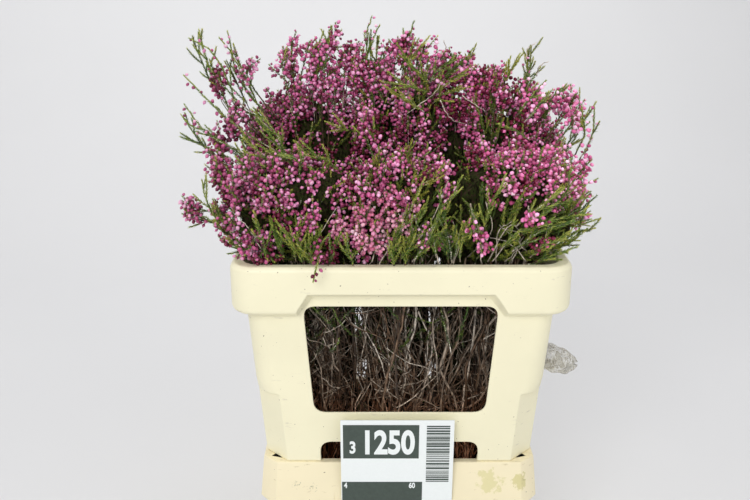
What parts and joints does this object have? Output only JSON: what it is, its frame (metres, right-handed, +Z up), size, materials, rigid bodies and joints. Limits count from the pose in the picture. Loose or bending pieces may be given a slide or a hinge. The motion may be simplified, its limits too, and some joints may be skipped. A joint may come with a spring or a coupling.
{
  "type": "cut heath in a flower container",
  "caption": "Bunches of pink cut heath standing in a cream plastic flower container: a tapered bucket, a windowed collar on its rim and a plain card in a pocket.",
  "frame": {"origin": "middle of the bucket's flat base, where it stands on the floor", "axes": "+Z up, the front with the card faces -Y, +X to the right seen from the front"},
  "size_m": [0.5169, 0.3342, 0.7673],
  "materials": {
    "collar": "cream moulded polypropylene, satin, a little scuffed",
    "bucket": "warmer cream moulded polypropylene, scuffed and stained",
    "card": "matt white card with dark grey-green blocks",
    "clear_film": "clear crumpled film",
    "stems": "dull grey-brown bark",
    "flowers": "small waxy magenta-pink bells",
    "foliage": "fine fresh green needles with yellow-green tips",
    "rubber_band": "reddish brown, dull"
  },
  "bodies": {
    "root": {"collar": "collar", "bucket": "bucket", "card": "card", "clear_film_tip": "clear_film", "bunch_front_left_stems": "stems", "bunch_front_left_rubber_band": "rubber_band", "bunch_front_left_tops": "flowers", "bunch_front_middle_stems": "stems", "bunch_front_middle_rubber_band": "rubber_band", "bunch_front_middle_tops": "flowers", "bunch_front_right_stems": "stems", "bunch_front_right_rubber_band": "rubber_band", "bunch_front_right_tops": "flowers", "bunch_back_left_stems": "stems", "bunch_back_left_rubber_band": "rubber_band", "bunch_back_left_tops": "flowers", "bunch_back_middle_stems": "stems", "bunch_back_middle_rubber_band": "rubber_band", "bunch_back_middle_tops": "flowers", "bunch_back_right_stems": "stems", "bunch_back_right_rubber_band": "rubber_band", "bunch_back_right_tops": "flowers"}
  },
  "joints": []
}
